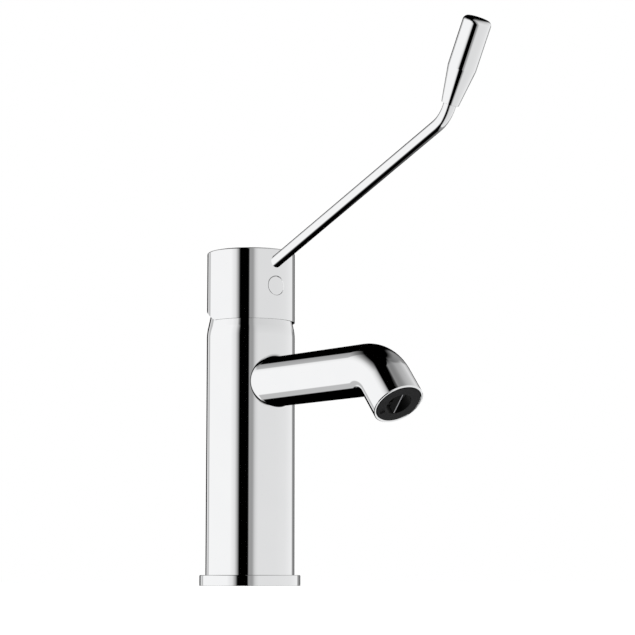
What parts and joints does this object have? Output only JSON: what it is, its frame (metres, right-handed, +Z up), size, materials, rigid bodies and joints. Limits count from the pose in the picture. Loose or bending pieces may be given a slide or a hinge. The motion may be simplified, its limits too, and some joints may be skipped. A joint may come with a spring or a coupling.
{
  "type": "basin mixer tap",
  "caption": "Basin mixer tap with a straight chrome body on a round base ring, a bent spout with a black outlet insert and a long upturned hygiene lever.",
  "frame": {"origin": "centre of the base ring's underside, on the body's axis, where the tap stands on the basin", "axes": "+Z up along the body's axis; the spout and the lever point to -Y; +X is to the right of a person who stands in front of the basin"},
  "size_m": [0.051, 0.2101, 0.2579],
  "materials": {
    "chrome": "polished chrome plate on brass",
    "black_plastic": "moulded, slightly satin",
    "rubber": "matt",
    "ceramic": "lapped alumina ceramic",
    "cartridge_plastic": "moulded",
    "stop_plastic": "moulded",
    "nylon": "moulded",
    "brass": "turned",
    "steel": "turned stainless steel"
  },
  "bodies": {
    "tap": {"body": "chrome", "base_ring": "chrome", "base_gasket": "rubber", "spout_tube": "chrome", "spout_seals": "rubber", "outlet_insert": "black_plastic", "outlet_seal": "rubber", "cartridge_foot": "cartridge_plastic", "seat_seals": "rubber", "disc_seals": "rubber", "fixed_disc": "ceramic", "cartridge_housing": "cartridge_plastic", "temperature_stop": "stop_plastic", "cartridge_nut": "brass"},
    "guide": {"spindle_guide": "cartridge_plastic", "guide_seal": "rubber", "pivot_pin": "steel"},
    "lever": {"spindle": "brass", "spindle_sleeve": "nylon", "handle_cap": "chrome", "handle_screw": "steel", "index_plug": "chrome", "lever_rod": "chrome", "lever_grip": "chrome"},
    "disc": {"moving_disc": "ceramic", "disc_carrier": "cartridge_plastic"}
  },
  "joints": [
    {"name": "temperature_swing", "type": "hinge", "parent": "tap", "child": "guide", "pos_m": [0, 0, 0.138], "axis": [0, 0, 1], "range_deg": [-45, 45]},
    {"name": "flow_lift", "type": "hinge", "parent": "guide", "child": "lever", "pos_m": [0, 0, 0.138], "axis": [-1, 0, 0], "range_deg": [0, 25]},
    {"name": "disc_slide", "type": "slide", "parent": "guide", "child": "disc", "axis": [0, -1, 0], "range_m": [0, 0.0037]}
  ],
  "couplings": [
    {"joint": "disc_slide", "follows": "flow_lift", "m_per_rad": 0.0084266}
  ]
}
